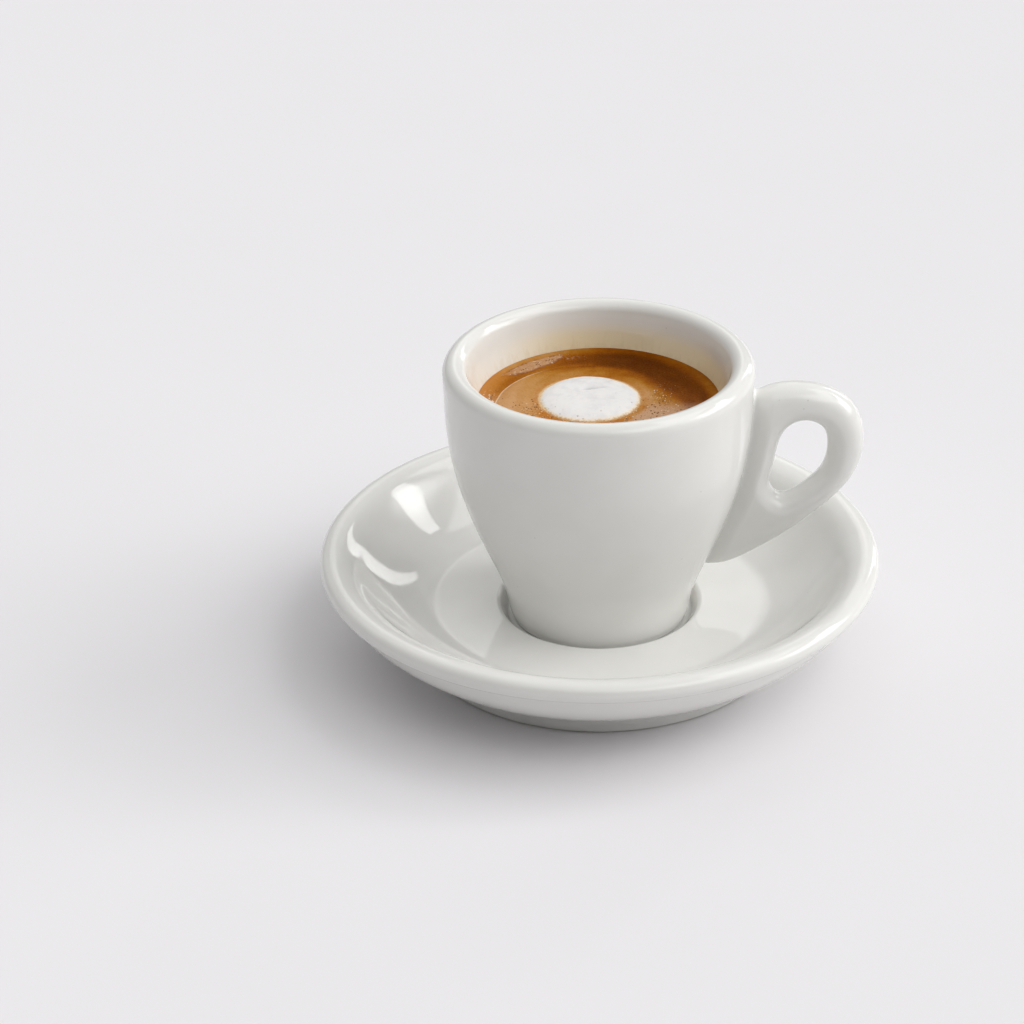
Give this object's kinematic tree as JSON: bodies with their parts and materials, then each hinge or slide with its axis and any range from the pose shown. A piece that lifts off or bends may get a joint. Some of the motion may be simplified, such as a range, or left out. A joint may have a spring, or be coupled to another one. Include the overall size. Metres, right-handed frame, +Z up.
{
  "type": "short macchiato",
  "caption": "Short macchiato: espresso with crema and a spot of milk foam in a thick white cup with a loop handle, standing in the well of its deep white saucer.",
  "frame": {"origin": "on the table under the centre of the saucer", "axes": "+Z up through the cup and the saucer, +X towards the handle"},
  "size_m": [0.12, 0.12, 0.0676],
  "materials": {
    "saucer_glaze": "glossy white glaze over thick white stoneware",
    "cup_glaze": "glossy white glaze over thick white stoneware",
    "espresso_crema": "golden brown espresso crema, wet and softly glossy, with an amber ring at the wall",
    "milk_foam_white": "white milk foam with fine bubbles and a soft tan edge"
  },
  "bodies": {
    "root": {"saucer": "saucer_glaze", "cup": "cup_glaze", "coffee": "espresso_crema", "milk_foam": "milk_foam_white"}
  },
  "joints": []
}
